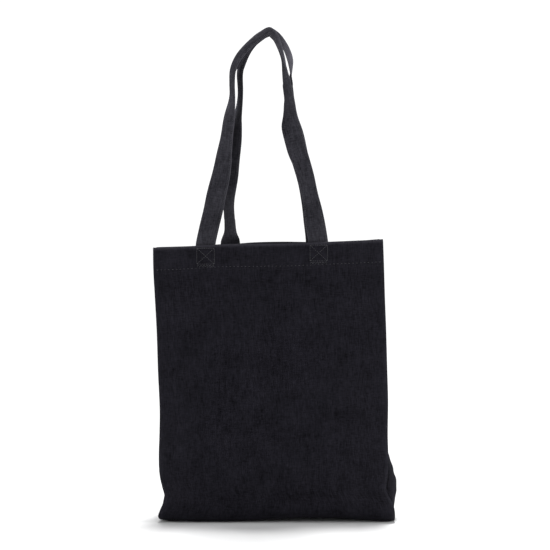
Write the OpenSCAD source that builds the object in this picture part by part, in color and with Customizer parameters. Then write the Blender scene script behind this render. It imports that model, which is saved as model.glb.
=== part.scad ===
// Canvas tote bag: a gusseted, open-topped body that stands on its own base,
// with two long shoulder handles sewn to the inside of the top hem.
// Origin: the middle of the base, on the surface that the bag stands on.
// +Z is up and the front faces -Y. All sizes are in millimetres.

/* [Body] */
// Width of the bag from side seam to side seam
body_w = 350; // [330:1:400]
// Height from the base to the top edge
body_h = 424; // [400:1:450]
// Depth of the base, front to back
base_d = 80; // [60:1:100]
// Depth of the mouth as it stands at rest
mouth_d = 26; // [24:1:40]
// Thickness of one layer of canvas
cloth_t = 1.0; // [0.8:0.1:1.2]

/* [Seams and hems] */
// Height of the turned hem round the mouth
hem_h = 35; // [25:1:45]
// Width of the seam allowance inside the bag
seam_w = 9; // [6:1:12]

/* [Handles] */
// Width of a handle strap
strap_w = 30; // [25:1:30]
// Thickness of a handle strap, which is folded canvas
strap_t = 2.4; // [1.6:0.1:2.4]

/* [Stitching] */
// Thickness that the thread stands proud of the cloth
thread_t = 0.5; // [0.3:0.1:0.6]
// Width of the thread
thread_w = 0.6; // [0.4:0.1:0.8]
// Length of one stitch of the hem row
stitch_len = 5; // [3:0.5:6]
// Distance from one stitch to the next
stitch_pitch = 8; // [7:0.5:10]
// Side of the crossed box sewn over each end of a handle
cross_box = 25; // [20:1:26]

/* [Hidden] */

// A seam allowance is the two turned-in edges of the cloth, one on the other
seam_t = 2 * cloth_t;
// Play between the base and the leaning panels that stand round it
base_play = 0.1;
// Angle by which the front and back lean in towards the mouth
lean = atan((base_d - mouth_d) / 2 / body_h);
// Width of half a gusset, from a side seam to its middle fold
gusset_half = base_d / 2 - cloth_t - seam_t;
// Rows of the gusset surface, closer together near the base where it folds fastest
gusset_rows = 10;
// Part of the gusset's width that its hem covers, so that it clears the seams
gusset_hem_share = 0.84;
// Rows of the gusset's hem
hem_rows = 3;
// Air between the gusset and its hem, as a share of the cloth's thickness
hem_air = 0.3;
// Steps between two points of a handle's route
route_steps = 3;

canvas = [0.115, 0.112, 0.130];
hem_canvas = [0.125, 0.122, 0.140];
strap_canvas = [0.160, 0.157, 0.172];
thread = [0.210, 0.207, 0.225];

// Middles of the sewn ends of each handle along the top edge
front_ends_x = [-101, 71];
back_ends_x = [-64, 67];

// Route of the front handle's middle line, left end to right end:
// [x, y, height above the top edge, turn of the strap about Z, fold along its middle]
front_route = [
    [-101, -9.8, 1, 0, 0], [-97, -7, 22, 0, 0], [-90, -5, 52, -3, 0],
    [-82, -5, 84, -12, 0], [-74, -5, 122, -30, 0], [-70, -6, 160, -46, 0],
    [-66, -7, 190, -53, 5], [-63, -9, 221, -63, 12], [-65, -10, 244, -78, 30],
    [-64, -10, 266, -86, 45], [-56, -10, 286, -90, 58], [-41, -9.5, 305, -90, 62],
    [-25, -10, 321, -90, 62], [-6, -10.5, 329, -90, 62], [6, -11, 319, -90, 56],
    [12, -11, 307, -88, 38], [18, -10.5, 284, -84, 18], [21, -10, 264, -76, 8],
    [24, -9, 242, -68, 0], [27, -8.5, 218, -62, 0], [28, -8, 194, -42, 0],
    [31, -7, 174, -10, 0], [38, -6, 148, -10, 0], [47, -5, 120, -32, 0],
    [56, -5, 84, -36, 0], [62, -5, 52, -24, 0], [68, -7, 22, 0, 0], [71, -9.8, 1, 0, 0]
];

// Route of the back handle's middle line, in the same terms
back_route = [
    [-64, 9.8, 1, 0, 0], [-64, 6.5, 15, -32, 0], [-65, 5, 38, -52, 0],
    [-66, 5, 60, -52, 0], [-66, 5, 83, -36, 0], [-64, 5, 121, -12, 0],
    [-60, 6, 151, -30, 0], [-57, 7, 181, -48, 0], [-54, 9, 211, -62, 8],
    [-53, 10, 238, -80, 28], [-54, 10, 262, -86, 44], [-50, 10, 284, -90, 58],
    [-39, 10, 303, -90, 62], [-24, 10, 319, -90, 62], [-5, 10.5, 328, -90, 62],
    [8, 11, 322, -90, 56], [18, 11, 311, -88, 40], [26, 10.5, 297, -86, 30],
    [30, 10, 282, -84, 26], [30, 10, 262, -78, 12], [28, 9, 240, -70, 0],
    [27, 8.5, 216, -60, 0], [29, 8, 192, -42, 0], [33, 7, 170, -20, 0],
    [39, 6, 146, -20, 0], [47, 5, 116, -30, 0], [55, 5, 84, -32, 0],
    [60, 5, 52, -20, 0], [65, 7, 22, 0, 0], [67, 9.8, 1, 0, 0]
];

// ---- Shared geometry ----

// Distance from the middle plane to the outer face of the front or back at a height
function half_depth(z) = (base_d + (mouth_d - base_d) * z / body_h) / 2;

function unit(v) = v / norm(v);

// Smooth curve through the points of a route: the piece after point i, at share u of it
function on_route(route, i, u) =
    let (a = route[max(i - 1, 0)], b = route[i], c = route[i + 1],
         d = route[min(i + 2, len(route) - 1)])
    (2 * b + (c - a) * u + (2 * a - 5 * b + 4 * c - d) * pow(u, 2)
        + (3 * b - 3 * c + d - a) * pow(u, 3)) / 2;

// All stations along a route
function stations(route) = [
    for (i = [0 : len(route) - 2], k = [0 : route_steps - 1]) on_route(route, i, k / route_steps),
    route[len(route) - 1]
];

function place(station) = [station.x, station.y, body_h + station.z];

// Direction of the route at a station, upright where the strap leaves the hem
function heading(line, i) =
    i == 0 ? [0, 0, 1]
    : i == len(line) - 1 ? [0, 0, -1]
    : unit(place(line[i + 1]) - place(line[i - 1]));

// Six corners of the strap across its route: two halves that meet at a ridge.
// A fold of zero is a flat strap, and a larger one bends both halves into the loop.
function strap_ring(station, along) =
    let (turn = station[3], fold = station[4], middle = place(station),
         level = [cos(turn), sin(turn), 0],
         across = unit(level - (level * along) * along),
         out = cross(across, along),
         right = across * cos(fold) - out * sin(fold),
         left = -across * cos(fold) - out * sin(fold),
         right_out = (out * cos(fold) + across * sin(fold)) * strap_t / 2,
         left_out = (out * cos(fold) - across * sin(fold)) * strap_t / 2,
         ridge = out * strap_t / 2 / cos(fold))
    [
        middle + left * strap_w / 2 + left_out, middle + ridge,
        middle + right * strap_w / 2 + right_out, middle + right * strap_w / 2 - right_out,
        middle - ridge, middle + left * strap_w / 2 - left_out
    ];

// Depth of the gusset's inward fold at a height: the cloth keeps its full width
function pleat(z) = sqrt(pow(gusset_half, 2) - pow(gusset_reach(z), 2));

// Distance from the middle plane to the edge of the gusset at a height
function gusset_reach(z) = half_depth(z) - cloth_t - seam_t;

// Point of the right gusset: side -1 to 1 runs front to back, layer counts cloths inwards
function gusset_point(side, z, layer) =
    [body_w / 2 - pleat(z) * (1 - abs(side)) - layer * cloth_t * gusset_half / gusset_reach(z),
     side * gusset_reach(z), z];

function gusset_ring(share, z, layer) = [
    gusset_point(-share, z, layer), gusset_point(0, z, layer), gusset_point(share, z, layer),
    gusset_point(share, z, layer + 1), gusset_point(0, z, layer + 1),
    gusset_point(-share, z, layer + 1)
];

// Heights of the rows between the bottom of the hem and the top edge
function hem_heights() = [for (i = [0 : hem_rows]) body_h - hem_h * (1 - i / hem_rows)];

// Closed solid through a list of six-cornered rings, three corners on each face of the cloth.
// Facing walls are split along the same diagonal, so that the cloth keeps its thickness
// where it twists, and the two halves beside the fold are split as mirror images.
module loft(rings) {
    sides = 6;
    last = (len(rings) - 1) * sides;
    walls = [
        for (i = [0 : len(rings) - 2], j = [0 : sides - 1])
            let (a = i * sides + j, b = i * sides + (j + 1) % sides)
            each j % 3 == 1
                ? [[a, a + sides, b], [b, a + sides, b + sides]]
                : [[a, b + sides, b], [a, a + sides, b + sides]]
    ];
    cap = [[0, 1, 4], [0, 4, 5], [1, 2, 3], [1, 3, 4]];
    far_cap = [for (face = cap) [last + face[2], last + face[1], last + face[0]]];
    polyhedron(points = [for (ring = rings) each ring], faces = concat(walls, cap, far_cap));
}

// Flat strip parallel to the front face, from a depth behind the face
module leaning_strip(x0, x1, z0, z1, behind, thickness) {
    translate([x0, 0, 0])
        rotate([90, 0, 90])
            linear_extrude(x1 - x0)
                polygon([
                    [behind - half_depth(z0), z0], [behind + thickness - half_depth(z0), z0],
                    [behind + thickness - half_depth(z1), z1], [behind - half_depth(z1), z1]
                ]);
}

// Puts what follows on the outside of the front face, with its -Y outwards
module on_front_face(x, z) {
    translate([x, -half_depth(z), z])
        rotate([-lean, 0, 0])
            children();
}

module to_back() {
    mirror([0, 1, 0]) children();
}

module to_left() {
    mirror([1, 0, 0]) children();
}

// ---- Body cloth ----

module panel() {
    color(canvas)
        leaning_strip(-body_w / 2, body_w / 2, 0, body_h, 0, cloth_t);
}

module gusset() {
    foot = cloth_t;
    rise = body_h - hem_h - foot;
    heights = [for (i = [0 : gusset_rows - 1]) foot + rise * pow(i / gusset_rows, 2)];
    color(canvas)
        loft([for (z = concat(heights, hem_heights())) gusset_ring(1, z, 0)]);
}

module base() {
    depth = base_d - 2 * cloth_t - 2 * base_play;
    color(canvas)
        translate([-body_w / 2, -depth / 2, 0])
            cube([body_w, depth, cloth_t]);
}

// ---- Hems ----

module panel_hem() {
    side = body_w / 2 - seam_w;
    color(hem_canvas)
        leaning_strip(-side, side, body_h - hem_h, body_h, cloth_t, cloth_t);
}

module gusset_hem() {
    color(hem_canvas)
        loft([for (z = hem_heights()) gusset_ring(gusset_hem_share, z, 1 + hem_air)]);
}

// ---- Seam allowances ----

module side_seam() {
    color(canvas)
        leaning_strip(body_w / 2 - seam_w, body_w / 2, cloth_t, body_h, cloth_t, seam_t);
}

module long_base_seam() {
    side = body_w / 2 - 2 * seam_w;
    color(canvas)
        translate([0, 0, cloth_t])
            leaning_strip(-side, side, 0, seam_t, cloth_t + base_play * 2, seam_w);
}

module short_base_seam() {
    reach = gusset_reach(0) - seam_w;
    color(canvas)
        translate([body_w / 2 - 2 * seam_w, -reach, cloth_t])
            cube([seam_w, 2 * reach, seam_t]);
}

// ---- Handles ----

module handle(route) {
    line = stations(route);
    color(strap_canvas)
        loft([for (i = [0 : len(line) - 1]) strap_ring(line[i], heading(line, i))]);
}

module handle_end(x) {
    color(strap_canvas)
        leaning_strip(x - strap_w / 2, x + strap_w / 2, body_h - hem_h + cloth_t, body_h,
                      2 * cloth_t, strap_t);
}

// ---- Stitching ----

// One straight run of thread on the front face, centred and turned in the face
module thread_run(length, turn) {
    rotate([0, turn, 0])
        translate([-length / 2, -thread_t, -thread_w / 2])
            cube([length, thread_t, thread_w]);
}

module cross_stitch(x) {
    middle = cross_box / 2;
    color(thread)
        on_front_face(x, body_h - hem_h / 2) {
            for (edge = [-middle, middle]) {
                translate([0, 0, edge]) thread_run(cross_box + thread_w, 0);
                translate([edge, 0, 0]) thread_run(cross_box + thread_w, 90);
            }
            for (turn = [-45, 45])
                thread_run(cross_box * sqrt(2), turn);
        }
}

module hem_stitching() {
    count = floor((body_w - 2 * seam_w) / stitch_pitch);
    color(thread)
        for (i = [0 : count - 1])
            on_front_face((i - (count - 1) / 2) * stitch_pitch, body_h - hem_h + 3 * thread_w)
                thread_run(stitch_len, 0);
}

// ---- Nodes ----

panel();  // front_panel
to_back() panel();  // back_panel
to_left() gusset();  // left_gusset
gusset();  // right_gusset
base();  // base_panel
panel_hem();  // front_hem
to_back() panel_hem();  // back_hem
to_left() gusset_hem();  // left_hem
gusset_hem();  // right_hem
to_left() side_seam();  // front_left_seam
side_seam();  // front_right_seam
to_back() to_left() side_seam();  // back_left_seam
to_back() side_seam();  // back_right_seam
long_base_seam();  // front_base_seam
to_back() long_base_seam();  // back_base_seam
to_left() short_base_seam();  // left_base_seam
short_base_seam();  // right_base_seam
handle(front_route);  // front_handle
handle(back_route);  // back_handle
handle_end(front_ends_x[0]);  // front_handle_left_end
handle_end(front_ends_x[1]);  // front_handle_right_end
to_back() handle_end(back_ends_x[0]);  // back_handle_left_end
to_back() handle_end(back_ends_x[1]);  // back_handle_right_end
cross_stitch(front_ends_x[0]);  // front_left_cross_stitch
cross_stitch(front_ends_x[1]);  // front_right_cross_stitch
to_back() cross_stitch(back_ends_x[0]);  // back_left_cross_stitch
to_back() cross_stitch(back_ends_x[1]);  // back_right_cross_stitch
hem_stitching();  // front_hem_stitching
to_back() hem_stitching();  // back_hem_stitching
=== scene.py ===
# Looks of the canvas tote bag: the body cloth, its hems and seam allowances, the two
# straps and all the stitching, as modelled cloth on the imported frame.
import math

import bpy
import numpy as np
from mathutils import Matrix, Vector


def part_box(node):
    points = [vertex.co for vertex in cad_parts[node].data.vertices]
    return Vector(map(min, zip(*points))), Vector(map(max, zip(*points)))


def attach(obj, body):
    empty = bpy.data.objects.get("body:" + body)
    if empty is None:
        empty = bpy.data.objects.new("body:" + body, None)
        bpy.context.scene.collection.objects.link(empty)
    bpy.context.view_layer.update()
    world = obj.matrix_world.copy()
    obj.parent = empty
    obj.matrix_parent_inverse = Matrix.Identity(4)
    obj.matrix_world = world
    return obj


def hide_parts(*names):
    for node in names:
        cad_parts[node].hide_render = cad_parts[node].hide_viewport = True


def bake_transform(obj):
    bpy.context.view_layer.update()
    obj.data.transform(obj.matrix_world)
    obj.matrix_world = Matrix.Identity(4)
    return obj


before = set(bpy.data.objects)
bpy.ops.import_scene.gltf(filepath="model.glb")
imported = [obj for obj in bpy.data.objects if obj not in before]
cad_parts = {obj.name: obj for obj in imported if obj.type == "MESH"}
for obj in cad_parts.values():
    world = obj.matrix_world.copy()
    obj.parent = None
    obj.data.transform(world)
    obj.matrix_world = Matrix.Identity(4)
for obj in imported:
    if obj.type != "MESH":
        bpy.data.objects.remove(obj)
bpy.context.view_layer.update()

MM = 0.001

# ---------------------------------------------------------------- sizes, in millimetres

BODY_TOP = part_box("front_panel")[1][2] / MM
BASE_HALF = -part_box("front_panel")[0][1] / MM
MOUTH_HALF = -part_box("front_hem")[0][1] / MM
BODY_W = 350.0
BODY_H = 424.0
CLOTH = 1.0
STRAP_W = 30.0
STRAP_T = 2.4
HEM_H = 35.0
SEAM_W = 9.0
HEM_ROW = 33.2  # the hem's stitches, below the top edge
STRAP_END = HEM_H - 1.0  # a strap's sewn end, below the top edge
STITCH_EDGE = 12.4  # a strap's stitches, from its middle line
FOOT_ROLL = 23.0  # radius of the cloth as it turns under at the foot
SIDE_ROLL = 1.15  # radius of a panel's edge as it turns towards the gusset
TOP_ROLL = 1.1  # radius of the edge turned over at the mouth
# Depths of a layer's two faces under the outer face of the cloth it lies behind
HEM_UNDER = (1.35, 2.3)
ALLOWANCE_UNDER = (1.45, 2.95)
GUSSET_HEM_UNDER = (1.15, 2.15)
STRAP_UNDER = 3.3 + STRAP_T / 2  # depth of the middle of a strap's sewn end
BASE_CLEAR = 4.2  # how far inside the side seams the base stops
MARGIN_GAP = 0.45  # between a panel and the base's turned-up margin
TURN_UP = 8.5  # height of that margin
BASE_COLUMNS = 141

# Outline of the front, left and right seams: [height, distance from the middle]
LEFT_SEAM = [
    [0, -169], [8, -173.5], [18, -171], [30, -166], [42, -163.5], [54, -166.5], [72, -170.5],
    [97, -172], [135, -171], [171, -170.5], [230, -173], [293, -175], [340, -177.5],
    [385, -180], [419, -180.5], [432, -180.5],
]
RIGHT_SEAM = [
    [0, 187], [8, 187.5], [20, 186.5], [31, 183.5], [42, 177], [51, 173.5], [62, 174.5],
    [78, 176.6], [90, 177], [135, 176], [186, 176.5], [240, 175], [293, 173.5],
    [345, 171.5], [393, 170], [420, 169], [432, 168.5],
]
# Seams of the back, which stands a little inside the front's outline
BACK_LEFT_SEAM = [
    [0, -170], [12, -171], [30, -168], [42, -166], [60, -168], [97, -170], [171, -169],
    [293, -172.5], [385, -177], [432, -177.5],
]
BACK_RIGHT_SEAM = [
    [0, 183], [12, 183.5], [30, 180], [46, 175], [60, 175], [90, 175.5], [186, 174],
    [293, 171], [393, 167], [432, 166],
]
# Top edge and bottom edge of the front: [distance from the middle, height]
FRONT_TOP = [
    [-182, 418.6], [-150, 419.8], [-101, 422.4], [-80, 423.8], [-20, 424.8], [20, 425.2],
    [50, 426.2], [73, 427.2], [110, 428.6], [150, 430.4], [170, 431.6],
]
BACK_TOP = [
    [-182, 418.0], [-120, 419.8], [-64, 422.6], [-30, 425.4], [15, 426.6], [50, 426.2],
    [67, 426.0], [110, 427.0], [150, 428.8], [170, 430.0],
]
FRONT_FOOT = [
    [-175, 2.4], [-140, 0.9], [-83, 0.3], [-30, 1.8], [25, 4.6], [76, 5.8], [120, 4.2],
    [160, 1.4], [188, 0.3],
]
BACK_FOOT = [
    [-175, 1.6], [-100, 0.3], [-20, 2.6], [60, 4.4], [120, 2.6], [188, 0.3],
]
# Gussets: how far the middle fold lies inside the seams (below zero it bulges outwards)
RIGHT_FOLD = [
    [0, 1], [12, -0.5], [26, -5], [33, -9.5], [41, -15], [52, -19], [60, -17.5], [70, -14],
    [82, -10], [94, -6], [104, -2.5], [116, 2], [140, 10], [190, 20], [260, 27], [330, 32],
    [432, 36],
]
LEFT_FOLD = [
    [0, 2], [14, 1], [28, 3], [42, 5], [60, 7], [85, 10], [120, 14], [180, 21],
    [260, 27], [330, 32], [432, 36],
]

# Middles of the straps' sewn ends along the top edge
FRONT_ENDS = [-101, 71]
BACK_ENDS = [-64, 67]

# Route of each strap's middle line: [x, y, height above the top edge, turn about Z, fold]
FRONT_ROUTE = [
    [-101, -9.3, 1, 0, 0], [-97, -4.6, 21, 0, 0], [-91.5, -3.2, 45, -2, 0],
    [-86.5, -5.6, 66, -5, 0], [-81, -7.4, 88, -13, 0], [-74, -6, 122, -30, 0],
    [-70, -6, 160, -46, 0], [-66, -7, 190, -53, 5], [-62.5, -9.5, 219, -73, 10],
    [-62.5, -10, 244, -82, 24],
    [-62, -10, 266, -87, 42], [-54.5, -10, 285, -90, 58], [-39.5, -9.5, 303, -90, 62],
    [-22, -10, 318, -90, 62], [-5, -10.5, 327.5, -90, 60], [6, -11, 319, -90, 54],
    [12, -11, 307, -88, 38], [18, -10.5, 284, -84, 18], [21, -10, 264, -76, 8],
    [24, -9, 242, -68, 0], [27, -8.5, 218, -62, 0], [28, -8, 194, -42, 0],
    [29.5, -7, 174, -3, 0], [36.5, -6, 148, -4, 0], [46.5, -5, 120, -28, 0],
    [56, -6.6, 84, -36, 0], [60.5, -5.6, 62, -28, 0], [64, -4.4, 42, -14, 0],
    [68, -5.2, 21, 0, 0], [71, -9.3, 1, 0, 0],
]
BACK_ROUTE = [
    [-64, 8.8, 1, -4, 4], [-64.2, 6.6, 9, -26, 10], [-64.6, 5.2, 19, -49, 6], [-65, 5, 40, -54, 0],
    [-66, 5, 60, -52, 0], [-66, 5, 83, -36, 0], [-64, 5, 121, -12, 0],
    [-59.5, 6, 151, -30, 0], [-55.5, 7, 181, -50, 0], [-51.5, 9, 209, -72, 6],
    [-50.5, 10, 238, -80, 20], [-52, 10, 262, -86, 40], [-48.5, 10, 284, -90, 56],
    [-39, 10, 303, -90, 62], [-24, 10, 319, -90, 62], [-5, 10.5, 328, -90, 62],
    [8, 11, 322, -90, 56], [18, 11, 311, -96, 40], [26, 10.5, 297, -103, 26],
    [30, 10, 282, -105, 16], [30, 10, 262, -92, 7], [28, 9, 240, -74, 0],
    [27, 8.5, 216, -60, 0], [29, 8, 192, -42, 0], [33, 7, 170, -20, 0],
    [39, 6, 146, -20, 0], [47, 5, 116, -30, 0], [55, 5, 84, -32, 0],
    [60, 5, 52, -20, 0], [65, 7, 22, 0, 0], [67, 9.3, 1, 0, 0],
]


# ---------------------------------------------------------------- small tools

def smooth(points, at):
    """Smooth curve through given points [at, value], read at one or many places."""
    xs = np.array([p[0] for p in points], float)
    ys = np.array([p[1] for p in points], float)
    at = np.clip(np.asarray(at, float), xs[0], xs[-1])
    slopes = np.diff(ys) / np.diff(xs)
    tangents = np.empty_like(ys)
    tangents[0], tangents[-1] = slopes[0], slopes[-1]
    tangents[1:-1] = (slopes[:-1] + slopes[1:]) / 2
    i = np.clip(np.searchsorted(xs, at, side="right") - 1, 0, len(xs) - 2)
    h = xs[i + 1] - xs[i]
    t = (at - xs[i]) / h
    return (
        ys[i] * (1 + 2 * t) * (1 - t) ** 2
        + h * tangents[i] * t * (1 - t) ** 2
        + ys[i + 1] * t * t * (3 - 2 * t)
        + h * tangents[i + 1] * t * t * (t - 1)
    )


def hump(value, middle, width):
    return np.exp(-(((value - middle) / width) ** 2))


def unit(v):
    return v / np.maximum(np.linalg.norm(v, axis=-1, keepdims=True), 1e-12)


def grid_normals(p):
    du = np.gradient(p, axis=1)
    dv = np.gradient(p, axis=0)
    return unit(np.cross(du, dv))


def make_mesh(name, points_mm, faces, uvs=None, materials=(), smooth_shade=True, wear_and_painted_light=None):
    """A mesh object from points in millimetres, with UVs in metres for the weave."""
    mesh = bpy.data.meshes.new(name)
    mesh.from_pydata((np.asarray(points_mm) * MM).tolist(), [], [list(f) for f in faces])
    if uvs is not None:
        layer = mesh.uv_layers.new(name="Weave")
        loops = np.empty(len(mesh.loops), int)
        mesh.loops.foreach_get("vertex_index", loops)
        layer.data.foreach_set("uv", np.asarray(uvs, np.float32)[loops].ravel())
    if wear_and_painted_light is not None:
        attribute = mesh.attributes.new("wear_and_painted_light", "FLOAT", "POINT")
        attribute.data.foreach_set("value", np.asarray(wear_and_painted_light, np.float32))
    if smooth_shade:
        mesh.polygons.foreach_set("use_smooth", [True] * len(mesh.polygons))
    mesh.validate()
    mesh.update()
    obj = bpy.data.objects.new(name, mesh)
    bpy.context.scene.collection.objects.link(obj)
    for m in materials:
        mesh.materials.append(m)
    return obj


def cloth_shell(name, outer, inner, size, material, wear_and_painted_light=None, flip=False):
    """A closed piece of cloth between two grids of points, rows x columns x 3, in millimetres.

    size is the flat width and height in millimetres, for the weave. The rim is rounded by
    one row of points of its own. flip turns the faces of a grid that runs the other way."""
    rows, cols = outer.shape[:2]
    u = np.linspace(0, size[0], cols) * MM
    v = np.linspace(0, size[1], rows) * MM
    uv = np.stack(np.meshgrid(u, v), axis=-1)
    rim = (
        [(0, c) for c in range(cols)]
        + [(r, cols - 1) for r in range(1, rows)]
        + [(rows - 1, c) for c in range(cols - 2, -1, -1)]
        + [(r, 0) for r in range(rows - 2, 0, -1)]
    )
    middle = (outer + inner) / 2
    edge = []
    for r, c in rim:
        across = unit(outer[r, c] - inner[r, c])
        half = np.linalg.norm(outer[r, c] - inner[r, c]) / 2
        d = middle[r, c] - middle[min(max(r, 1), rows - 2), min(max(c, 1), cols - 2)]
        d = d - across * (d @ across)
        edge.append(middle[r, c] + unit(d) * min(half, 0.5) * 0.8)
    points = np.concatenate([outer.reshape(-1, 3), inner.reshape(-1, 3), np.array(edge)])
    flat = uv.reshape(-1, 2)
    uvs = np.concatenate([flat, flat, np.array([uv[r, c] for r, c in rim])])
    faces = []
    total = rows * cols
    for r in range(rows - 1):
        for c in range(cols - 1):
            a, b = r * cols + c, r * cols + c + 1
            d, e = a + cols, b + cols
            faces.append((a, b, e, d))
            faces.append((total + a, total + d, total + e, total + b))
    m = len(rim)
    for i in range(m):
        j = (i + 1) % m
        a = rim[i][0] * cols + rim[i][1]
        b = rim[j][0] * cols + rim[j][1]
        faces.append((b, a, 2 * total + i, 2 * total + j))
        faces.append((total + a, total + b, 2 * total + j, 2 * total + i))
    if flip:
        faces = [f[::-1] for f in faces]
    values = None
    if wear_and_painted_light is not None:
        w = np.asarray(wear_and_painted_light).reshape(-1)
        values = np.concatenate([w, w, np.array([wear_and_painted_light[r, c] for r, c in rim])])
    return make_mesh(name, points, faces, uvs, [material], wear_and_painted_light=values)


# ---------------------------------------------------------------- the body surface

def lean_half(z):
    """Half the depth of the body at a height, before it sags."""
    return BASE_HALF + (MOUTH_HALF - BASE_HALF) * np.clip(z, 0, None) / BODY_TOP


def foot_roll(rise):
    """How far the cloth, turning under, has drawn in at a height above its foot."""
    t = np.clip(1 - rise / FOOT_ROLL, 0, 1)
    return FOOT_ROLL * (1 - np.sqrt(np.clip(1 - t * t, 0, 1))) * 0.78


def hem_relief(x, below, back):
    """Relief of the hem: a dip along its stitches and the outline of the straps' ends."""
    relief = 0.22 * hump(below, 22, 12) - 0.42 * hump(below, HEM_ROW, 1.7)
    relief = relief + 0.16 * hump(below, HEM_ROW + 4.5, 2.2)
    for end in BACK_ENDS if back else FRONT_ENDS:
        wide = 1 / (1 + np.exp((np.abs(x - end) - STRAP_W / 2) / 0.7))
        tall = 1 / (1 + np.exp((np.abs(below - 16) - 16) / 0.8))
        relief = relief + 0.42 * wide * tall
    return relief


def side_front(u, v, back=False):
    """Outer surface of the front (or back) at shares u left to right and v foot to top."""
    left, right = (BACK_LEFT_SEAM, BACK_RIGHT_SEAM) if back else (LEFT_SEAM, RIGHT_SEAM)
    foot, top = (BACK_FOOT, BACK_TOP) if back else (FRONT_FOOT, FRONT_TOP)
    guess = -BODY_W / 2 + BODY_W * u
    low, high = smooth(foot, guess), smooth(top, guess)
    z = low + (high - low) * v
    x0, x1 = smooth(left, z), smooth(right, z)
    x = x0 + (x1 - x0) * u
    low, high = smooth(foot, x), smooth(top, x)
    z = low + (high - low) * v
    x0, x1 = smooth(left, z), smooth(right, z)
    x = x0 + (x1 - x0) * u
    inside = np.clip(4 * u * (1 - u), 0, 1) ** 0.7
    free = np.clip(np.sin(np.pi * np.clip(v, 0, 1)), 0, 1)
    # the empty front sags outwards low down and slackly inwards near the top
    swell = 6.0 * inside * np.exp(-(((v - 0.23) / 0.20) ** 2))
    swell -= 2.6 * inside * np.exp(-(((v - 0.72) / 0.16) ** 2))
    # the slack mouth waves between the places where the straps hold it
    slack = np.clip((v - 0.5) / 0.5, 0, 1)
    slack = slack * slack * (3 - 2 * slack)
    if back:
        swell += slack * (1.8 * hump(x, -122, 30) - 1.6 * hump(x, 2, 36) + 1.6 * hump(x, 122, 28))
    else:
        swell += slack * (2.4 * hump(x, -16, 40) - 2.0 * hump(x, 128, 30) + 1.5 * hump(x, -150, 22))
    if back:
        sway = (
            1.7 * np.sin(5.1 * u + 1.9 * v + 0.8) * free
            + 0.9 * np.sin(11.3 * u - 2.7 * v + 2.0) * free * inside
        )
    else:
        sway = (
            1.6 * np.sin(4.3 * u - 1.3 * v + 2.2) * free
            + 1.0 * np.sin(9.7 * u + 2.1 * v + 0.4) * free * inside
            + 0.5 * np.sin(19.0 * u + 3.0 * v + 1.0) * free * inside * v
        )
        # slack folds that run up from the pinched corners
        sway += 1.5 * hump(x + 150 - 0.16 * (z - 60), 0, 12) * hump(z, 70, 60)
        sway -= 1.1 * hump(x + 128 - 0.10 * (z - 40), 0, 13) * hump(z, 80, 60)
        sway += 1.7 * hump(x - 160 + 0.20 * (z - 60), 0, 11) * hump(z, 66, 50)
        sway -= 1.2 * hump(x - 139 + 0.12 * (z - 60), 0, 13) * hump(z, 70, 60)
        # small puckers across the seams at the pinches
        sway += 0.5 * np.sin((z - 0.6 * x) * 1.05) * hump(x, -164, 9) * hump(z, 42, 24)
        sway += 0.55 * np.sin((z + 0.5 * x) * 0.95) * hump(x, 172, 9) * hump(z, 80, 26)
    depth = lean_half(z) + swell + sway + hem_relief(x, high - z, back)
    # rounded vertical corners
    near_left = np.clip(1 - u * BODY_W / 7.0, 0, 1)
    near_right = np.clip(1 - (1 - u) * BODY_W / 7.0, 0, 1)
    corner = 3.4 * (near_left ** 2 + near_right ** 2)
    depth = depth - corner * np.clip(lean_half(z) / 30, 0.25, 1)
    depth = depth - foot_roll(z - smooth(foot, x))
    y = depth if back else -depth
    return np.stack([x, y, z], axis=-1)


def surface_at(x, z, back=False):
    """Point and outward normal of the front (or back) at given x and height."""
    x, z = np.asarray(x, float), np.asarray(z, float)
    left, right = (BACK_LEFT_SEAM, BACK_RIGHT_SEAM) if back else (LEFT_SEAM, RIGHT_SEAM)
    foot, top = (BACK_FOOT, BACK_TOP) if back else (FRONT_FOOT, FRONT_TOP)

    def point(px, pz):
        v = (pz - smooth(foot, px)) / (smooth(top, px) - smooth(foot, px))
        x0, x1 = smooth(left, pz), smooth(right, pz)
        return side_front((px - x0) / (x1 - x0), v, back)

    p = point(x, z)
    n = unit(np.cross(point(x + 0.4, z) - point(x - 0.4, z), point(x, z + 0.4) - point(x, z - 0.4)))
    return p, -n if back else n


def gusset_point(left, t, v):
    """Outer surface of a side gusset: t runs -1 at the front seam to 1 at the back seam."""
    u = 0.0 if left else 1.0
    flat = np.asarray(v, float)
    f = side_front(np.full_like(flat, u), flat, False)
    b = side_front(np.full_like(flat, u), flat, True)
    sign = -1.0 if left else 1.0
    share = (np.asarray(t) + 1) / 2
    p = f * (1 - share)[..., None] + b * share[..., None]
    fold = smooth(LEFT_FOLD if left else RIGHT_FOLD, p[..., 2])
    crease = np.abs(t)
    inward = 1 - np.sqrt(crease ** 2 + 0.006) / math.sqrt(1.006)
    bulge = 1 - crease ** 2.4
    depth = np.where(fold > 0, fold * inward, fold * bulge)
    p[..., 0] -= sign * depth
    ripple = 0.5 * np.sin(p[..., 2] * 0.33 + 1.3 * t) * (1 - crease) * hump(p[..., 2], 60, 60)
    p[..., 0] += sign * ripple
    p[..., 0] -= sign * 3.2 * hump(1 - crease, 0, 0.075)
    # the folded gusset hangs level with the sloping top edge beside it
    if not left:
        p[..., 2] -= 2.6 * inward * np.clip((flat - 0.6) / 0.4, 0, 1)
    return p


# ---------------------------------------------------------------- materials

def node(tree, kind, **values):
    made = tree.nodes.new(kind)
    for key, value in values.items():
        setattr(made, key, value)
    return made


def link(tree, a, b):
    tree.links.new(a, b)


def maths(tree, operation, a, b=None, clamp=False):
    made = node(tree, "ShaderNodeMath", operation=operation, use_clamp=clamp)
    for i, value in enumerate((a, b)):
        if value is None:
            continue
        if isinstance(value, (int, float)):
            made.inputs[i].default_value = value
        else:
            link(tree, value, made.inputs[i])
    return made.outputs[0]


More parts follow.
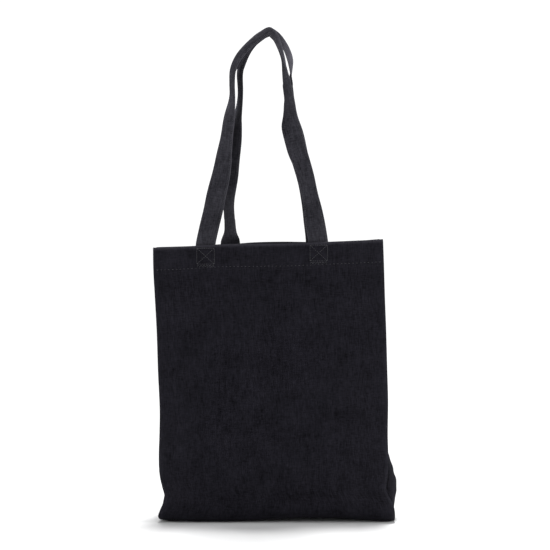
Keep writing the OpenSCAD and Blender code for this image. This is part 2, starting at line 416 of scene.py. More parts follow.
def weighted(tree, a, share_a, b, share_b):
    """The sum of two values, each times its share."""
    return maths(
        tree, "ADD", maths(tree, "MULTIPLY", a, share_a), maths(tree, "MULTIPLY", b, share_b)
    )


def streaks(tree, u, v, along_u, along_v, detail=3.0, seed=0.0):
    """Noise stretched along the yarns: how many changes a metre each way."""
    combine = node(tree, "ShaderNodeCombineXYZ")
    link(tree, maths(tree, "MULTIPLY", u, along_u), combine.inputs[0])
    link(tree, maths(tree, "MULTIPLY", v, along_v), combine.inputs[1])
    combine.inputs[2].default_value = seed
    noise = node(tree, "ShaderNodeTexNoise", noise_dimensions="3D")
    noise.inputs["Scale"].default_value = 1.0
    noise.inputs["Detail"].default_value = detail
    noise.inputs["Roughness"].default_value = 0.6
    link(tree, combine.outputs[0], noise.inputs["Vector"])
    return noise.outputs["Fac"]


def canvas_material(name, dark, pale, wear_and_highlight_colour, roughness, sheen, weave_bump):
    """Woven canvas: fine plain weave, slubs along both yarns, uneven dye and worn edges, with
    painted highlight and painted shade read from an attribute.
    """
    m = bpy.data.materials.new(name)
    m.use_nodes = True
    t = m.node_tree
    shader = t.nodes["Principled BSDF"]
    coords = node(t, "ShaderNodeUVMap", uv_map="Weave")
    split = node(t, "ShaderNodeSeparateXYZ")
    link(t, coords.outputs["UV"], split.inputs[0])
    u, v = split.outputs[0], split.outputs[1]
    # plain weave of 0.9 mm yarns
    yarn = math.pi / 0.0009
    across = maths(t, "SINE", maths(t, "MULTIPLY", u, yarn))
    up = maths(t, "SINE", maths(t, "MULTIPLY", v, yarn))
    over = maths(t, "MULTIPLY", across, up)
    weave = maths(t, "ADD", maths(t, "MULTIPLY", over, 0.5), 0.5)
    warp = streaks(t, u, v, 900.0, 105.0, 3.0, 1.7)
    weft = streaks(t, u, v, 120.0, 820.0, 3.0, 6.1)
    broad_warp = streaks(t, u, v, 260.0, 42.0, 3.0, 3.3)
    broad_weft = streaks(t, u, v, 46.0, 230.0, 3.0, 9.4)
    wash = streaks(t, u, v, 30.0, 26.0, 3.0, 12.0)
    yarns = weighted(t, warp, 0.55, weft, 0.45)
    wide = weighted(t, broad_warp, 0.6, broad_weft, 0.4)
    tone = weighted(t, yarns, 0.72, wide, 0.26)
    tone = maths(t, "ADD", tone, maths(t, "MULTIPLY", wash, 0.18))
    tone = maths(t, "SUBTRACT", tone, 0.08)
    ramp = node(t, "ShaderNodeValToRGB")
    ramp.color_ramp.elements[0].position = 0.36
    ramp.color_ramp.elements[0].color = (*dark, 1)
    ramp.color_ramp.elements[1].position = 0.66
    ramp.color_ramp.elements[1].color = (*pale, 1)
    link(t, tone, ramp.inputs[0])
    # the tops of the yarns are paler than the gaps between them
    yarn_tint_and_painted_shade = node(t, "ShaderNodeMix", data_type="RGBA", blend_type="MULTIPLY")
    yarn_tint_and_painted_shade.inputs[0].default_value = 1.0
    # an attribute holds how rubbed the cloth is together with painted highlights, and below zero
    # painted shade in seams, along the foot and on the straps
    wear_and_light_at = node(t, "ShaderNodeAttribute", attribute_name="wear_and_painted_light")
    painted_shade_factor = maths(t, "ADD", maths(t, "MULTIPLY", wear_and_light_at.outputs["Fac"], 0.9), 1.0, clamp=True)
    yarn_gaps_and_painted_shade = maths(t, "ADD", maths(t, "MULTIPLY", weave, 0.30), 0.82)
    yarn_gaps_and_painted_shade = maths(t, "MULTIPLY", yarn_gaps_and_painted_shade, painted_shade_factor)
    grey = node(t, "ShaderNodeCombineColor")
    for i in range(3):
        link(t, yarn_gaps_and_painted_shade, grey.inputs[i])
    link(t, ramp.outputs[0], yarn_tint_and_painted_shade.inputs[6])
    link(t, grey.outputs[0], yarn_tint_and_painted_shade.inputs[7])
    uneven = maths(t, "ADD", maths(t, "MULTIPLY", yarns, 1.5), 0.05)
    wear_and_painted_highlight = maths(t, "MULTIPLY", wear_and_light_at.outputs["Fac"], uneven)
    wear_and_painted_highlight = maths(t, "MULTIPLY", wear_and_painted_highlight, 0.9, clamp=True)
    # the pale colour mixed in here is wear and painted highlight
    edge = node(t, "ShaderNodeMix", data_type="RGBA")
    link(t, wear_and_painted_highlight, edge.inputs[0])
    link(t, yarn_tint_and_painted_shade.outputs[2], edge.inputs[6])
    edge.inputs[7].default_value = (*wear_and_highlight_colour, 1)
    link(t, edge.outputs[2], shader.inputs["Base Color"])
    rough = maths(t, "ADD", maths(t, "MULTIPLY", yarns, 0.16), roughness - 0.08)
    link(t, rough, shader.inputs["Roughness"])
    shader.inputs["Sheen Weight"].default_value = sheen
    shader.inputs["Sheen Roughness"].default_value = 0.35
    shader.inputs["Sheen Tint"].default_value = (0.72, 0.74, 0.86, 1)
    shader.inputs["Specular IOR Level"].default_value = 0.08
    relief = weighted(t, weave, 0.55, yarns, 0.75)
    bump = node(t, "ShaderNodeBump")
    bump.inputs["Strength"].default_value = weave_bump
    bump.inputs["Distance"].default_value = 0.0006
    link(t, relief, bump.inputs["Height"])
    link(t, bump.outputs[0], shader.inputs["Normal"])
    return m


def thread_material(name, dark, pale):
    """Twisted sewing thread: fine slanting plies, uneven dye."""
    m = bpy.data.materials.new(name)
    m.use_nodes = True
    t = m.node_tree
    shader = t.nodes["Principled BSDF"]
    coords = node(t, "ShaderNodeUVMap", uv_map="Weave")
    split = node(t, "ShaderNodeSeparateXYZ")
    link(t, coords.outputs["UV"], split.inputs[0])
    slant = weighted(t, split.outputs[0], 9000.0, split.outputs[1], 5200.0)
    ply = maths(t, "ADD", maths(t, "MULTIPLY", maths(t, "SINE", slant), 0.5), 0.5)
    patch = streaks(t, split.outputs[0], split.outputs[1], 60.0, 60.0, 3.0, 4.0)
    tone = weighted(t, ply, 0.45, patch, 0.7)
    ramp = node(t, "ShaderNodeValToRGB")
    ramp.color_ramp.elements[0].position = 0.2
    ramp.color_ramp.elements[0].color = (*dark, 1)
    ramp.color_ramp.elements[1].position = 0.8
    ramp.color_ramp.elements[1].color = (*pale, 1)
    link(t, tone, ramp.inputs[0])
    link(t, ramp.outputs[0], shader.inputs["Base Color"])
    link(t, maths(t, "ADD", maths(t, "MULTIPLY", patch, 0.2), 0.5), shader.inputs["Roughness"])
    shader.inputs["Sheen Weight"].default_value = 0.25
    bump = node(t, "ShaderNodeBump")
    bump.inputs["Strength"].default_value = 0.5
    bump.inputs["Distance"].default_value = 0.0002
    link(t, ply, bump.inputs["Height"])
    link(t, bump.outputs[0], shader.inputs["Normal"])
    return m


def floor_material():
    m = bpy.data.materials.new("pale_floor")
    m.use_nodes = True
    shader = m.node_tree.nodes["Principled BSDF"]
    shader.inputs["Base Color"].default_value = (0.74, 0.74, 0.74, 1)
    shader.inputs["Roughness"].default_value = 0.85
    shader.inputs["Specular IOR Level"].default_value = 0.1
    return m


BODY_CLOTH = canvas_material(
    "body_canvas", (0.0014, 0.0013, 0.0024), (0.0200, 0.0188, 0.0262),
    (0.048, 0.046, 0.057), 0.9, 0.010, 0.75,
)
HEM_CLOTH = canvas_material(
    "hem_canvas", (0.0015, 0.0014, 0.0026), (0.0212, 0.0200, 0.0275),
    (0.050, 0.048, 0.060), 0.9, 0.010, 0.75,
)
STRAP_CLOTH = canvas_material(
    "strap_canvas", (0.0064, 0.0062, 0.0086), (0.0580, 0.0560, 0.0680),
    (0.095, 0.092, 0.108), 0.86, 0.10, 0.70,
)
THREAD = thread_material("sewing_thread", (0.007, 0.007, 0.010), (0.020, 0.019, 0.026))


# ---------------------------------------------------------------- camera, light and floor

def aim(obj, at):
    way = np.array(at, float) - np.array(obj.location)
    obj.rotation_euler = Vector(way.tolist()).to_track_quat("-Z", "Y").to_euler()


TARGET = (0.0046, 0.0, 0.377)
DISTANCE = 2.34
ELEVATION = math.radians(4.0)
camera_data = bpy.data.cameras.new("camera")
camera_data.lens = 100.0
camera_data.sensor_width = 36.0
camera_data.clip_start = 0.05
camera_data.clip_end = 60.0
camera = bpy.data.objects.new("camera", camera_data)
bpy.context.scene.collection.objects.link(camera)
camera.location = (
    TARGET[0],
    TARGET[1] - DISTANCE * math.cos(ELEVATION),
    TARGET[2] + DISTANCE * math.sin(ELEVATION),
)
aim(camera, TARGET)
bpy.context.scene.camera = camera

world = bpy.data.worlds.new("white_studio")
bpy.context.scene.world = world
world.use_nodes = True
# the backdrop is pure white to the eye, and lights the cloth more gently than it looks
sky = world.node_tree
backdrop = sky.nodes["Background"]
backdrop.inputs["Color"].default_value = (1.0, 1.0, 1.0, 1)
backdrop.inputs["Strength"].default_value = 1.1
soft_sky = node(sky, "ShaderNodeBackground")
soft_sky.inputs["Color"].default_value = (0.97, 0.98, 1.0, 1)
soft_sky.inputs["Strength"].default_value = 0.42
seen = node(sky, "ShaderNodeLightPath")
either = node(sky, "ShaderNodeMixShader")
link(sky, seen.outputs["Is Camera Ray"], either.inputs[0])
link(sky, soft_sky.outputs[0], either.inputs[1])
link(sky, backdrop.outputs[0], either.inputs[2])
link(sky, either.outputs[0], sky.nodes["World Output"].inputs["Surface"])
bpy.context.scene.view_settings.view_transform = "Standard"
bpy.context.scene.view_settings.look = "None"


def area_light(name, location, at, size, power):
    data = bpy.data.lights.new(name, "AREA")
    data.shape = "RECTANGLE"
    data.size, data.size_y = size
    data.energy = power
    lamp = bpy.data.objects.new(name, data)
    lamp.location = location
    bpy.context.scene.collection.objects.link(lamp)
    aim(lamp, at)
    return lamp


area_light("key_left", (-1.5, -1.7, 1.5), (0, 0, 0.4), (0.9, 1.2), 6)
area_light("side_right", (2.1, -0.35, 0.75), (0, 0, 0.45), (0.7, 0.9), 24)
area_light("side_left", (-2.1, -0.35, 0.75), (0, 0, 0.45), (0.7, 0.9), 10)
# the main light stands high and a little behind, so the shadow falls short and in front
top_data = bpy.data.lights.new("top_light", "SUN")
top_data.energy = 3.25
top_data.angle = math.radians(10)
top_light = bpy.data.objects.new("top_light", top_data)
top_light.location = (0.07, 0.34, 2.4)
bpy.context.scene.collection.objects.link(top_light)
aim(top_light, (0, 0, 0.2))

floor = make_mesh(
    "studio_floor",
    [(-9000, -9000, 0), (9000, -9000, 0), (9000, 9000, 0), (-9000, 9000, 0)],
    [(0, 1, 2, 3)], None, [floor_material()], smooth_shade=False,
)


# ---------------------------------------------------------------- body cloth

def panel_wear_and_painted_light(cols, rows):
    """Rubbed pale in a thin line down both seam edges; painted highlight along the top fold, in
    broad bands down both sides and in a strip inside the left edge; painted shade darkening the
    foot; slightly paler over the hem.
    """
    u = np.linspace(0, 1, cols)
    v = np.linspace(0, 1, rows)
    uu, vv = np.meshgrid(u, v)
    from_left, from_right = uu * BODY_W, (1 - uu) * BODY_W
    rub_and_painted_light = 0.10 * hump(from_left, 0, 2.6) + 0.10 * hump(from_right, 0, 2.6)
    # painted highlight: broad paler bands down both sides, and a paler strip inside the left edge
    rub_and_painted_light += 0.05 * hump(from_left, 0, 40) + 0.07 * hump(from_right, 0, 60)
    rub_and_painted_light += 0.09 * hump(from_left, 9, 5) * hump(vv * BODY_H, 125, 55)
    # painted highlight along the top fold, and painted shade darkening the foot
    rub_and_painted_light += 1.0 * hump((1 - vv) * BODY_H, 0, 2.2) - 0.22 * hump(vv * BODY_H, 0, 13)
    rub_and_painted_light += 0.04 * ((1 - vv) * BODY_H < HEM_H)
    return np.clip(rub_and_painted_light, -1, 1)


def rolled(p, n, back):
    """Adds the turned edges to a panel's outer surface: over the top, and round both sides.

    Returns the outer and inner grids with the extra rows and columns."""
    outer, inner = p, p - n * CLOTH
    # round the side seams, so that the panel closes the corner up to the gusset
    toward = np.array([0.0, -1.0 if back else 1.0, 0.0])
    parts_o, parts_i = [outer], [inner]
    for side, column in ((-1.0, 0), (1.0, -1)):
        out_way = np.array([side, 0.0, 0.0])
        steps_o, steps_i = [], []
        for angle, run in ((30, 0.0), (60, 0.0), (90, 0.0), (90, 0.9), (90, 1.8)):
            a = math.radians(angle)
            centre = outer[:, column] + toward * SIDE_ROLL
            o = centre - toward * SIDE_ROLL * math.cos(a)
            o = o + out_way * SIDE_ROLL * math.sin(a) * 0.55
            o = o + toward * run
            i = centre - toward * 0.15 * math.cos(a) - out_way * (0.45 - 0.1 * math.sin(a))
            i = i + toward * run
            steps_o.append(o)
            steps_i.append(i)
        if side < 0:
            steps_o, steps_i = steps_o[::-1], steps_i[::-1]
        stack_o, stack_i = np.stack(steps_o, axis=1), np.stack(steps_i, axis=1)
        if side < 0:
            parts_o.insert(0, stack_o)
            parts_i.insert(0, stack_i)
        else:
            parts_o.append(stack_o)
            parts_i.append(stack_i)
    outer, inner = np.concatenate(parts_o, axis=1), np.concatenate(parts_i, axis=1)
    # over the top edge and a little way down inside
    rows_o, rows_i = [outer], [inner]
    top_o, top_i = outer[-1], inner[-1]
    across = unit(top_i - top_o)
    up = unit(outer[-1] - outer[-2])
    # a full turn along the edge, but only a lip where the cloth also turns a corner
    turn = np.ones(len(top_o))
    lip, between, near = 0.45, 0.7, 6
    turn[:near], turn[near] = lip, between
    turn[-near:], turn[-near - 1] = lip, between
    for angle in (36, 72, 108, 144, 180):
        a = np.radians(angle * turn)[:, None]
        centre = top_o + across * TOP_ROLL
        o = centre - across * TOP_ROLL * np.cos(a) + up * TOP_ROLL * np.sin(a)
        rows_o.append(o[None])
        rows_i.append((centre - across * 0.1 * np.cos(a) + up * 0.1 * np.sin(a))[None])
    onward = (across * np.sin(a) + up * np.cos(a)) * np.where(turn < 1, 0.12, 1.2)[:, None]
    rows_o.append((rows_o[-1][0] + onward)[None])
    rows_i.append((rows_i[-1][0] + onward)[None])
    return np.concatenate(rows_o), np.concatenate(rows_i)


def panel_surface(back, cols, rows):
    flow = np.linspace(0, 1, rows) ** 1.12
    u = np.linspace(0, 1, cols)
    u = u - 0.14 * np.sin(2 * np.pi * u) / (2 * np.pi)
    uu, vv = np.meshgrid(u, flow)
    p = side_front(uu, vv, back)
    n = grid_normals(p)
    return p, -n if back else n


def build_panel(name, back):
    p, n = panel_surface(back, 171, 221)
    outer, inner = rolled(p, n, back)
    # the turned edges carry on the wear, painted highlight and painted shade of the edge they turn
    # from
    beside = (outer.shape[1] - p.shape[1]) // 2
    above = outer.shape[0] - p.shape[0]
    wear_and_painted_light = np.pad(panel_wear_and_painted_light(p.shape[1], p.shape[0]), ((0, above), (beside, beside)), mode="edge")
    obj = cloth_shell(name, outer, inner, (356, 428), BODY_CLOTH, wear_and_painted_light=wear_and_painted_light, flip=back)
    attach(obj, "bag")
    return obj


def under(x0, x1, z0, z1, cols, rows, near, far, back):
    """Grids of a layer inside the front (or back), between two depths under its face.

    x0 and x1 are functions of height. z0 and z1 are distances below the top edge."""
    top = BACK_TOP if back else FRONT_TOP
    s, w = np.meshgrid(np.linspace(0, 1, cols), np.linspace(0, 1, rows))
    z = BODY_TOP - z1 + (z1 - z0) * w
    x = x0(z) + (x1(z) - x0(z)) * s
    drop = z1 + (z0 - z1) * w
    z = smooth(top, x) - drop
    p, n = surface_at(x, z, back)
    return p - n * near, p - n * far


def layer(name, x0, x1, z0, z1, cols, rows, depths, back, size, material, slot, node_name):
    outer, inner = under(x0, x1, z0, z1, cols, rows, *depths, back)
    wear_and_painted_light = np.zeros(outer.shape[:2])
    obj = cloth_shell(name, outer, inner, size, material, wear_and_painted_light=wear_and_painted_light, flip=back)
    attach(obj, "bag")
    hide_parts(node_name)
    return obj


def seams(back):
    return (BACK_LEFT_SEAM, BACK_RIGHT_SEAM) if back else (LEFT_SEAM, RIGHT_SEAM)


for side, back in (("front", False), ("back", True)):
    panel = build_panel(f"{side}_cloth", back)
    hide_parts(f"{side}_panel")
    left, right = seams(back)
    hem = layer(
        f"{side}_hem_cloth",
        lambda z, e=left: smooth(e, z) + SEAM_W + 2,
        lambda z, e=right: smooth(e, z) - SEAM_W - 2,
        2.4, HEM_H, 171, 23, HEM_UNDER, back, (328, 33), HEM_CLOTH, "hem_canvas", f"{side}_hem",
    )
    for hand, edge, sign in (("left", left, 1), ("right", right, -1)):
        a = (lambda z, e=edge, k=sign: smooth(e, z) + k * 1.2)
        b = (lambda z, e=edge, k=sign: smooth(e, z) + k * (SEAM_W + 1.2))
        first, second = (a, b) if sign > 0 else (b, a)
        layer(
                f"{side}_{hand}_allowance", first, second, 2.6, 404, 9, 261, ALLOWANCE_UNDER,
                back, (SEAM_W, 402), BODY_CLOTH, "canvas", f"{side}_{hand}_seam",
            )


def gusset_grids(left, reach, v0, v1, cols, rows, near, far, inset=3.1):
    """Grids of a layer of a gusset between two depths inwards, over part of its width."""
    t = np.linspace(-reach, reach, cols)
    v = v0 + (v1 - v0) * np.linspace(0, 1, rows)
    tt, vv = np.meshgrid(t, v)
    whole_t, whole_v = np.meshgrid(np.array([-1.0, 1.0]), v)
    ends = gusset_point(left, whole_t, whole_v)
    p = gusset_point(left, tt, vv)
    front, rear = ends[:, :1, 1] + inset, ends[:, 1:, 1] - inset
    p[..., 1] = front + (rear - front) * (tt + 1) / 2
    sign = -1.0 if left else 1.0
    p[..., 0] -= sign * 0.25
    n = grid_normals(p)
    slant = np.clip(np.abs(n[..., 0]), 0.25, 1)
    outer, inner = p.copy(), p.copy()
    outer[..., 0] -= sign * near / slant
    inner[..., 0] -= sign * far / slant
    return outer, inner, tt


def build_gusset(hand, left):
    outer, inner, tt = gusset_grids(left, 1.0, 0.0, 1.0, 61, 181, 0.0, CLOTH)
    # over the top edge, as on the panels
    rows_o, rows_i = [outer], [inner]
    across = unit(inner[-1] - outer[-1])
    reach = np.linalg.norm(inner[-1] - outer[-1], axis=-1, keepdims=True) * 1.1
    up = np.array([0.0, 0.0, 1.0])
    turns = (45, 90, 135, 180)
    for angle in turns:
        a = math.radians(angle)
        centre = outer[-1] + across * reach
        o = centre - across * reach * math.cos(a) + up * TOP_ROLL * math.sin(a)
        rows_o.append(o[None])
        rows_i.append((centre - across * 0.1 * math.cos(a) + up * 0.1 * math.sin(a))[None])
    outer, inner = np.concatenate(rows_o), np.concatenate(rows_i)
    tt = np.vstack([tt] + [tt[-1:]] * len(turns))
    # paler along the middle fold; painted shade darkening the cloth along both seams
    wear_and_painted_light = 0.35 * hump(tt, 0, 0.06) - 1.0 * hump(np.abs(tt), 1, 0.11)
    obj = cloth_shell(
        f"{hand}_gusset_cloth", outer, inner, (80, 426), BODY_CLOTH, wear_and_painted_light=wear_and_painted_light, flip=left
    )
    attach(obj, "bag")
    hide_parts(f"{hand}_gusset")
    outer, inner, tt = gusset_grids(
        left, 0.76, 1 - HEM_H / BODY_H, 1 - 1.6 / BODY_H, 41, 13, *GUSSET_HEM_UNDER
    )
    hem = cloth_shell(
        f"{hand}_hem_cloth", outer, inner, (60, 33), HEM_CLOTH, wear_and_painted_light=np.zeros(tt.shape), flip=left
    )
    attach(hem, "bag")
    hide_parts(f"{hand}_hem")


build_gusset("left", True)
build_gusset("right", False)


# ---------------------------------------------------------------- the base

def foot_line(x, back):
    """Where the foot of the front (or back) lies: its y and its height."""
    foot = BACK_FOOT if back else FRONT_FOOT
    z = smooth(foot, x)
    p, _ = surface_at(x, z + 0.02, back)
    return p[..., 1], z


def base_height(x, share):
    """Height of the base's underside, which rests on the floor between its raised edges,
    and the y of its front and back edges."""
    y0, z0 = foot_line(x, False)
    y1, z1 = foot_line(x, True)
    rise = (1 - share) ** 3 * z0 + share ** 3 * z1
    return 0.25 + rise * 0.96, y0, y1


def base_across(share, cols):
    """Places along the base from gusset to gusset, a row for each share of its width."""
    ends = [
        (1 - share) * smooth(front, 2.0) + share * smooth(rear, 2.0)
        for front, rear in ((LEFT_SEAM, BACK_LEFT_SEAM), (RIGHT_SEAM, BACK_RIGHT_SEAM))
    ]
    return np.linspace(ends[0] + BASE_CLEAR, ends[1] - BASE_CLEAR, cols, axis=-1)


def base_grids(x, s, near, far):
    """Grids of a layer on the base, at places x and shares s of its width, between two
    heights above its underside."""
    z, y0, y1 = base_height(x, s)
    y = y0 + 0.5 + (y1 - y0 - 1.0) * s
    outer = np.stack([x, y, z + near], axis=-1)
    inner = np.stack([x, y, z + far], axis=-1)
    return outer, inner


def base_margin(back):
    """Margin of the base cloth, turned up inside the rolled foot of the front (or back)."""
    # even steps along the cloth, from its edge down to the foot
    rise = TURN_UP * np.linspace(1, 0, 9) ** 1.8
    share = np.full(len(rise), 1.0 if back else 0.0)
    x, h = base_across(share, BASE_COLUMNS), rise[:, None]
    p, n = surface_at(x, smooth(BACK_FOOT if back else FRONT_FOOT, x) + h, back)
    return p - n * (CLOTH + MARGIN_GAP), p - n * (2 * CLOTH + MARGIN_GAP)


front_margin, back_margin = base_margin(False), base_margin(True)
shares = np.linspace(0.04, 0.96, 25)
middle = base_grids(
    base_across(shares, BASE_COLUMNS), np.repeat(shares[:, None], BASE_COLUMNS, axis=1), 0.0, CLOTH
)
outer, inner = (
    np.concatenate([front, flat, rear[::-1]])
    for front, flat, rear in zip(front_margin, middle, back_margin)
)
base = cloth_shell(
    "base_cloth", outer, inner, (350, 80), BODY_CLOTH, wear_and_painted_light=np.zeros(outer.shape[:2]), flip=True
)
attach(base, "bag")
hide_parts("base_panel")
for name, x0, x1, s0, s1, cols, rows in (
    ("front", -146, 164, 0.06, 0.24, 101, 5),
    ("back", -146, 164, 0.76, 0.94, 101, 5),
    ("left", -160, -151, 0.10, 0.90, 5, 31),
    ("right", 169, 178, 0.10, 0.90, 5, 31),
):
    x, s = np.meshgrid(np.linspace(x0, x1, cols), np.linspace(s0, s1, rows))
    outer, inner = base_grids(x, s, CLOTH + 0.15, CLOTH + 2.0)
    strip = cloth_shell(
        f"{name}_base_allowance", outer, inner, (x1 - x0, (s1 - s0) * 60), BODY_CLOTH,
        wear_and_painted_light=np.zeros(outer.shape[:2]), flip=True,
    )
    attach(strip, "bag")
    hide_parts(f"{name}_base_seam")


# ---------------------------------------------------------------- the straps

def catmull(points, step_mm):
    """Points of a smooth curve through given ones, about step_mm apart along it."""
    q = np.array(points, float)
    out = []
    for i in range(len(q) - 1):
        a, b, c = q[max(i - 1, 0)], q[i], q[i + 1]
        d = q[min(i + 2, len(q) - 1)]
        n = max(2, int(np.ceil(np.linalg.norm(c[:3] - b[:3]) / step_mm)))
        for k in range(n):
            t = k / n
            out.append(
                (2 * b + (c - a) * t + (2 * a - 5 * b + 4 * c - d) * t * t
                 + (3 * b - 3 * c + d - a) * t ** 3) / 2
            )
    out.append(q[-1])
    return np.array(out)


def strap_line(route, ends, back):
    """Stations along a whole strap, sewn ends included: x, y, z, turn, fold."""
    top = BACK_TOP if back else FRONT_TOP
    sign = 1.0 if back else -1.0
    sewn = []
    for x in ends:
        part = []
        for drop in (STRAP_END, 26.0, 18.0, 10.0):
            z = float(smooth(top, x)) - drop
            p, _ = surface_at(x, z, back)
            part.append([x, float(p[1]) - sign * STRAP_UNDER, z, 0.0, 0.0])
        sewn.append(part)
    middle = []
    for i, (x, y, rise, turn, fold) in enumerate(route):
        # the first and last places lie a little further in, behind the hem
        further = sign * 0.15 if i in (0, len(route) - 1) else 0.0
        middle.append([x, y - further, BODY_TOP + rise, turn, fold])
    line = catmull(sewn[0] + middle + sewn[1][::-1], 3.4)
    # a strap is never quite straight: it cups and wavers slightly between its folds
    z = line[:, 2]
    free = np.clip((z - 440) / 60, 0, 1)
    line[:, 0] += free * (0.5 * np.sin(z * 0.043 + 1.0) + 0.3 * np.sin(z * 0.11))
    line[:, 3] += free * 3.0 * np.sin(z * 0.05 + 0.4)
    return line


def strap_frames(line):
    """Points along a strap's line, with its directions across and outwards."""
    p = line[:, :3]
    along = unit(np.gradient(p, axis=0))
    turn = np.radians(line[:, 3])
    level = np.stack([np.cos(turn), np.sin(turn), np.zeros_like(turn)], axis=1)
    across = unit(level - (level * along).sum(1, keepdims=True) * along)
    out = np.cross(across, along)
    return p, across, out


def summed(values, step):
    """Running sum along each row from nought, by the trapezium rule."""
    total = np.cumsum((values[:, 1:] + values[:, :-1]) / 2, axis=1)
    return np.concatenate([np.zeros((len(values), 1)), total], axis=1) * step


def strap_section(line, s):
    """Middle surface of a strap at shares s across, -1 to 1, and the surface's normal."""
    p, across, out = strap_frames(line)
    # where it isn't folded lengthways it cups a little, either way
    cupped = 4.0 * np.sin(line[:, 2] * 0.02 + 1)
    fold = np.radians(np.where(line[:, 4] > 0.5, line[:, 4], cupped))
    fine = np.linspace(0, 1, 41)
    soft = 0.22
    bend = fine / np.sqrt(fine ** 2 + soft ** 2) * math.sqrt(1 + soft ** 2)
    angle = fold[:, None] * bend[None]
    step = (fine[1] - fine[0]) * STRAP_W / 2
    sideways, drop = summed(np.cos(angle), step), summed(np.sin(angle), step)
    points, normals = [], []
    for value in s:
        a, k = abs(value), math.copysign(1, value)
        side = np.array([np.interp(a, fine, row) for row in sideways])
        down = np.array([np.interp(a, fine, row) for row in drop])
        theta = np.array([np.interp(a, fine, row) for row in angle])
        points.append(p + across * (k * side)[:, None] - out * down[:, None])
        normals.append(out * np.cos(theta)[:, None] + across * (k * np.sin(theta))[:, None])
    return np.stack(points, axis=1), np.stack(normals, axis=1)


def strap_half(s):
    """Half thickness of a strap at a share across: soft folded edges, a dip at each seam."""
    s = np.abs(np.asarray(s, float))
    body = STRAP_T / 2 * np.sqrt(np.clip(1 - s ** 9, 0, 1))
    return body - 0.24 * hump(s * STRAP_W / 2, STITCH_EDGE, 0.9)


def build_strap(name, line, material, painted_highlight_strength=0.0):
    # shares across, closest at the folded edge and beside the stitches
    s = np.array([
        -1, -0.985, -0.95, -0.9, -0.86, -0.826, -0.79, -0.74, -0.6, -0.4, -0.2, -0.08, 0.0,
    ])
    s = np.concatenate([s, -s[-2::-1]])
    middle, normal = strap_section(line, s)
    half = strap_half(s)
    # the cloth swells a little between stitches
    length = np.concatenate([[0], np.cumsum(np.linalg.norm(np.diff(line[:, :3], axis=0), axis=1))])
    beside = hump(np.abs(s) * STRAP_W / 2, STITCH_EDGE, 2.5)
    swell = 1 + 0.03 * np.sin(length * 2.1)[:, None] * beside[None]
    thick = (half[None] * swell)[..., None]
    top, bottom = middle + normal * thick, middle - normal * thick
    ring = np.concatenate([top, bottom[:, -2:0:-1]], axis=1)
    count, width = ring.shape[:2]
    across_mm = np.concatenate([s, s[-2:0:-1]]) * STRAP_W / 2
    uvs = np.stack(np.broadcast_arrays(across_mm[None] * MM, length[:, None] * MM), axis=-1)
    # the folded edges are rubbed paler
    rub_and_painted_light = hump(np.abs(across_mm), STRAP_W / 2, 1.0) * 0.75
    wear_and_painted_light = np.broadcast_to(rub_and_painted_light[None], (count, width)).copy()
    # painted highlight: a pale line along the ridge of the fold over the crown
    crown = hump(line[:, 2], BODY_TOP + 320, 40)[:, None] * hump(across_mm, 0, 3.2)[None]
    wear_and_painted_light += 0.5 * crown
    # painted highlight where the strap bends out of the mouth and painted shade just above it; on
    # the back strap, painted highlight on a strand beside the top and on a strand lower on the left
    wear_and_painted_light += 0.16 * hump(line[:, 2], BODY_TOP + 12, 13)[:, None]
    wear_and_painted_light -= 0.14 * hump(line[:, 2], BODY_TOP + 46, 16)[:, None]
    wear_and_painted_highlight = hump(line[:, 2], BODY_TOP + 287, 27) * hump(line[:, 0], 32, 14)
    wear_and_painted_highlight += 0.35 * hump(line[:, 2], BODY_TOP + 232, 52) * hump(line[:, 0], -52, 14)
    wear_and_painted_light += painted_highlight_strength * wear_and_painted_highlight[:, None]
    faces = []
    for i in range(count - 1):
        for j in range(width):
            k = (j + 1) % width
            faces.append((i * width + j, i * width + k, (i + 1) * width + k, (i + 1) * width + j))
    points = ring.reshape(-1, 3)
    uv_all, wear_all = uvs.reshape(-1, 2), wear_and_painted_light.reshape(-1)
    # ends: a middle point each
    for end in (0, count - 1):
        centre = ring[end].mean(0)
        points = np.vstack([points, centre])
        uv_all = np.vstack([uv_all, uvs[end].mean(0)])
        wear_all = np.append(wear_all, 0.2)
        c = len(points) - 1
        for j in range(width):
            k = (j + 1) % width
            f = (end * width + k, end * width + j, c)
            faces.append(f if end == 0 else f[::-1])
    return make_mesh(name, points, faces, uv_all, [material], wear_and_painted_light=wear_all), length


def stitches(name, centres, along, normals, length, radius, sides=6):
    """Separate stitches: short twisted runs of thread whose ends go down into the cloth."""
    centres, along, normals = map(np.asarray, (centres, along, normals))
    side = unit(np.cross(along, normals))
    # along a stitch: share of its length, share of its radius, lift in diameters
    rings = (
        (-0.5, 0.35, -0.22), (-0.33, 0.95, 0.02), (0.0, 1.0, 0.12), (0.33, 0.95, 0.02),
        (0.5, 0.35, -0.22),
    )
    turn = np.arange(sides) * 2 * np.pi / sides
    all_points, all_uv = [], []
    for share, thick, lift in rings:
        c = centres + along * (share * length) + normals * (lift * radius * 2)
        for a in turn:
            sideways = side * (math.cos(a) * radius * thick)
            outwards = normals * (math.sin(a) * radius * thick)
            all_points.append(c + sideways + outwards)
            all_uv.append([(share + 0.5) * length * MM, a / (2 * np.pi) * 2 * np.pi * radius * MM])
    per = len(rings) * sides
    count = len(centres)
    points = np.stack(all_points, axis=1).reshape(-1, 3)
    base_uv = np.array(all_uv)
    shift = np.arange(count)[:, None, None] * np.array([0.0041, 0.0023])
    uvs = (base_uv[None] + shift).reshape(-1, 2)
    one = []
    for r in range(len(rings) - 1):
        for k in range(sides):
            m = (k + 1) % sides
            one.append((r * sides + k, r * sides + m, (r + 1) * sides + m, (r + 1) * sides + k))
    one.append(tuple(range(sides))[::-1])
    one.append(tuple((len(rings) - 1) * sides + k for k in range(sides)))
    faces = [tuple(i * per + v for v in f) for i in range(count) for f in one]
    return make_mesh(name, points, faces, uvs, [THREAD])


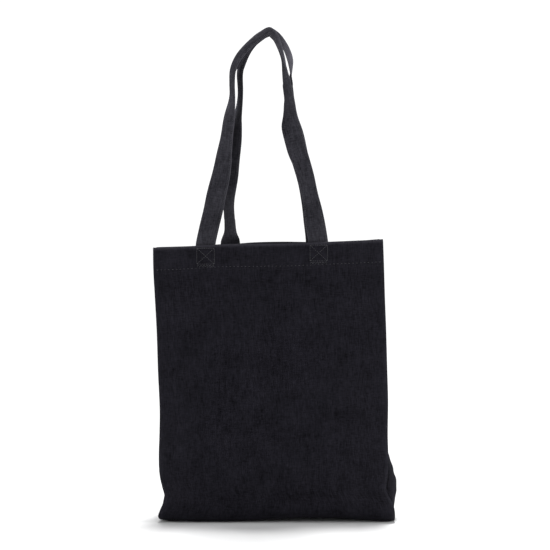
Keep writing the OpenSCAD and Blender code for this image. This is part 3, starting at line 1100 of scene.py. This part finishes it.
def strap_stitches(name, line, length):
    """Rows of stitches near both edges of a strap, on both of its faces."""
    share = STITCH_EDGE / (STRAP_W / 2)
    middle, normal = strap_section(line, [-share, share])
    half = float(strap_half(share))
    pitch, run = 3.7, 2.9
    at = np.arange(4.0, length[-1] - 4.0, pitch)
    centres, along, normals = [], [], []
    for column in (0, 1):
        for face in (1.0, -1.0):
            surface = middle[:, column] + normal[:, column] * face * (half + 0.06)
            way = unit(np.gradient(surface, axis=0))
            facing = normal[:, column] * face
            for source, store in ((surface, centres), (way, along), (facing, normals)):
                store.append(
                    np.stack([np.interp(at, length, source[:, k]) for k in range(3)], axis=1)
                )
    return stitches(
        name, np.concatenate(centres), unit(np.concatenate(along)), unit(np.concatenate(normals)),
        run, 0.27, sides=5,
    )


for side, route, ends, back in (
    ("front", FRONT_ROUTE, FRONT_ENDS, False),
    ("back", BACK_ROUTE, BACK_ENDS, True),
):
    line = strap_line(route, ends, back)
    strap, length = build_strap(f"{side}_strap", line, STRAP_CLOTH, 0.9 if back else 0.0)
    sewing = strap_stitches(f"{side}_strap_stitching", line, length)
    for obj in (strap, sewing):
        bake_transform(obj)
    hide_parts(f"{side}_handle", f"{side}_handle_left_end", f"{side}_handle_right_end")


# ---------------------------------------------------------------- stitching on the body

def run_of_stitches(points_xz, back, pitch, proud=0.05):
    """Stitch places along a line of (x, height) corners on the front (or back)."""
    corners = np.array(points_xz, float)
    centres, along, normals = [], [], []
    for a, b in zip(corners[:-1], corners[1:]):
        span = np.linalg.norm(b - a)
        count = max(1, int(round(span / pitch)))
        for k in range(count):
            x, z = a + (b - a) * (k + 0.5) / count
            p, n = surface_at(x, z, back)
            q, _ = surface_at(*(np.array([x, z]) + (b - a) / span * 0.3), back)
            centres.append(p + n * proud)
            along.append(unit(q - p))
            normals.append(n)
    return centres, along, normals


def gather(parts):
    """Stitch places of several runs as one."""
    return [sum((list(p[k]) for p in parts), []) for k in range(3)]


# A strap's boxed cross: half its width, its height, and how far it lies below the edge
BOX_HALF, BOX_H, BOX_DROP = 13.2, 24.0, 3.6
for side, back in (("front", False), ("back", True)):
    top = BACK_TOP if back else FRONT_TOP
    left, right = seams(back)
    xs = np.linspace(float(smooth(left, 390)) + 3, float(smooth(right, 390)) - 3, 60)
    row = [(x, float(smooth(top, x)) - HEM_ROW) for x in xs]
    c, a, n = run_of_stitches(row, back, 3.9)
    sewing = stitches(f"{side}_hem_row", c, a, n, 3.0, 0.3)
    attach(sewing, "bag")
    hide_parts(f"{side}_hem_stitching")
    for hand, x in zip(("left", "right"), BACK_ENDS if back else FRONT_ENDS):
        high = float(smooth(top, x)) - BOX_DROP
        low = high - BOX_H
        x0, x1 = x - BOX_HALF, x + BOX_HALF
        bar = [(x0 + k * (x1 - x0) / 12, low - (1.0 if k % 2 else 4.6)) for k in range(13)]
        parts = [
            run_of_stitches([(x0, high), (x1, high), (x1, low), (x0, low), (x0, high)], back, 3.2),
            run_of_stitches([(x0, high), (x1, low)], back, 3.2),
            run_of_stitches([(x1, high), (x0, low)], back, 3.2),
            run_of_stitches(bar, back, 4.3),
        ]
        c, a, n = gather(parts)
        box = stitches(f"{side}_{hand}_box", c, a, n, 2.6, 0.3)
        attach(box, "bag")
        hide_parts(f"{side}_{hand}_cross_stitch")
